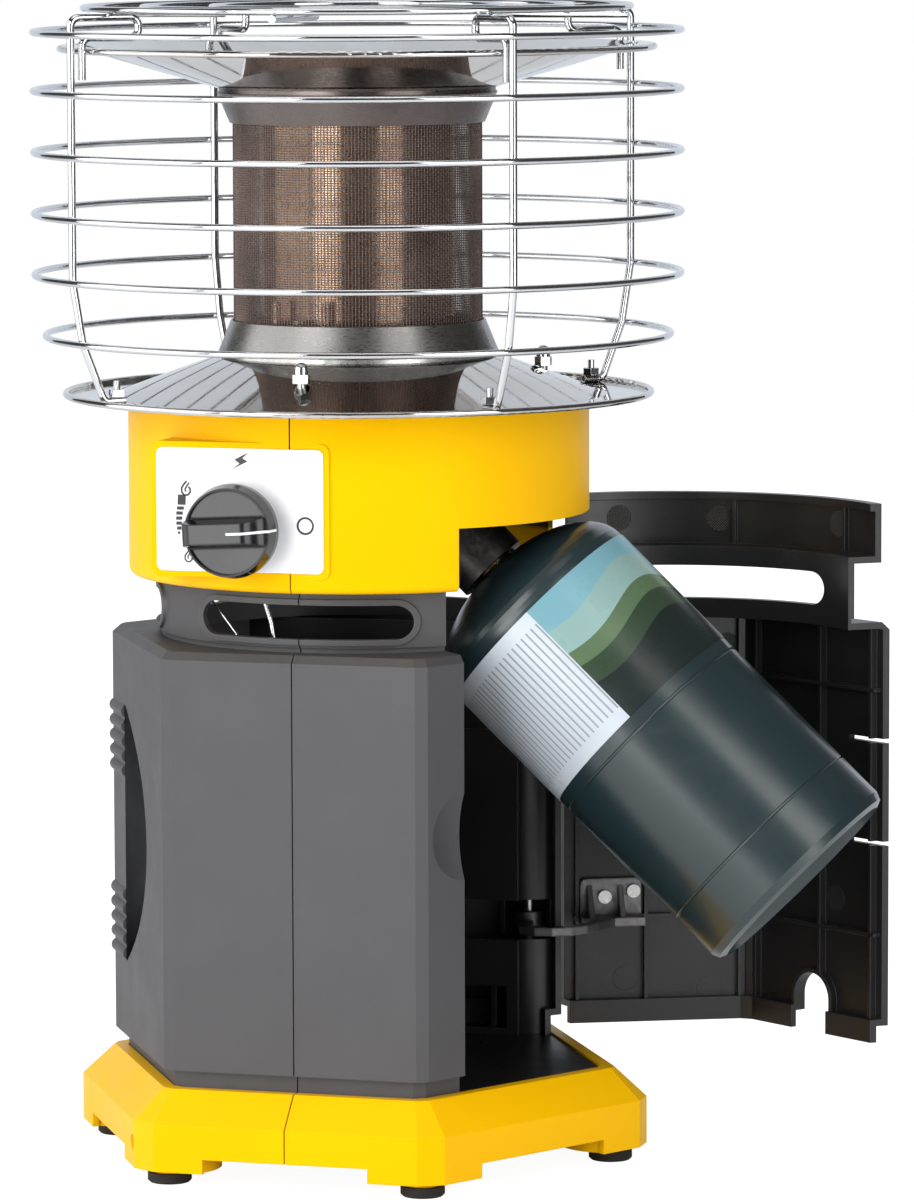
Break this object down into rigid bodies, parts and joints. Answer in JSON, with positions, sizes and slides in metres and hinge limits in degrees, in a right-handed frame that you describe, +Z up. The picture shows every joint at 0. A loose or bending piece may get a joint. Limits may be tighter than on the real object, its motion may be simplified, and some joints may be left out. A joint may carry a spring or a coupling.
{
  "type": "portable propane heater",
  "caption": "Round-topped camping heater: caged cylindrical burner between two bright reflectors, knob drum, hexagonal body with hand slot, side door and a swing-out gas bottle.",
  "frame": {"origin": "on the floor, under the centre of the round burner", "axes": "+Z up; -Y towards the face with the knob; +X towards the doorway that the bottle swings out of"},
  "size_m": [0.3854, 0.2934, 0.5189],
  "materials": {
    "yellow_plastic": "fine satin texture",
    "grey_plastic": "fine spark texture",
    "black_plastic": "semi-gloss with fine texture",
    "black_gloss": "polished",
    "black_rubber": "matt",
    "cast_zinc": "as cast",
    "plated_steel": "zinc plated",
    "stainless": "bright rolled",
    "bright_sheet": "mirror-rolled, radial grain",
    "bright_tube": "bright drawn",
    "chrome": "plated wire",
    "woven_wire": "woven and heat tinted",
    "brass": "turned",
    "green_paint": "gloss enamel",
    "printed_label": "printed film",
    "white_plate": "printed plate"
  },
  "bodies": {
    "heater": {"base_left": "yellow_plastic", "base_right": "yellow_plastic", "rubber_feet": "black_rubber", "foot_screws": "plated_steel", "floor_plate": "black_plastic", "body_left_shell": "grey_plastic", "body_front_right_shell": "grey_plastic", "body_rear_right_shell": "grey_plastic", "bottle_bay_liner": "black_plastic", "hinge_pin": "plated_steel", "drum_left": "yellow_plastic", "drum_right": "yellow_plastic", "drum_top_plate": "plated_steel", "control_plate": "white_plate", "gas_valve": "brass", "piezo_igniter": "black_plastic", "valve_inlet_tube": "bright_tube", "valve_outlet_tube": "bright_tube", "injector": "brass", "mixer_tube": "plated_steel", "tip_over_switch": "black_plastic", "switch_lead": "bright_tube", "sensor_lead": "bright_tube", "swing_bracket": "plated_steel", "swing_pin": "plated_steel", "burner_base_plate": "plated_steel", "burner_tube": "stainless", "burner_screen": "woven_wire", "lower_collar": "stainless", "upper_collar": "stainless", "burner_top_plate": "stainless", "burner_tie_rods": "plated_steel", "pilot_burner": "stainless", "lower_reflector": "bright_sheet", "upper_reflector": "bright_sheet", "reflector_studs": "plated_steel", "cap_nuts": "chrome", "guard_ring_1": "chrome", "guard_ring_2": "chrome", "guard_ring_3": "chrome", "guard_ring_4": "chrome", "guard_ring_5": "chrome", "guard_top_ring": "chrome", "guard_posts": "chrome", "guard_foot_nuts": "chrome", "grille_rings": "chrome", "grille_spokes": "chrome"},
    "door": {"door": "black_plastic", "hinge_arm_lower": "cast_zinc", "hinge_arm_upper": "cast_zinc", "hinge_screws": "plated_steel"},
    "regulator_swing": {"regulator": "cast_zinc", "regulator_cap": "cast_zinc"},
    "bottle": {"gas_bottle": "green_paint", "bottle_valve": "brass", "bottle_label": "printed_label"},
    "stem": {"valve_stem": "plated_steel"},
    "knob": {"knob": "black_gloss"}
  },
  "joints": [
    {"name": "door_hinge", "type": "hinge", "parent": "heater", "child": "door", "pos_m": [0.05465, 0.08883, 0.1], "axis": [0, 0, 1], "range_deg": [-85, 0]},
    {"name": "cylinder_swing", "type": "hinge", "parent": "heater", "child": "regulator_swing", "pos_m": [0.0129, 0, 0.3138], "axis": [0, -1, 0], "range_deg": [-46.3, 0]},
    {"name": "cylinder_turn", "type": "hinge", "parent": "regulator_swing", "child": "bottle", "pos_m": [0.0129, 0, 0.3138], "axis": [0.723, 0, -0.6909], "continuous": true},
    {"name": "knob_push", "type": "slide", "parent": "heater", "child": "stem", "axis": [0, 1, 0], "range_m": [0, 0.005], "stiffness_N_per_m": 2000, "springref_m": -0.002},
    {"name": "knob_turn", "type": "hinge", "parent": "stem", "child": "knob", "pos_m": [-0.023, -0.12, 0.2921], "axis": [0, -1, 0], "range_deg": [0, 212]}
  ],
  "couplings": [
    {"joint": "door_hinge", "follows": "cylinder_swing", "ratio": 1.8358}
  ]
}
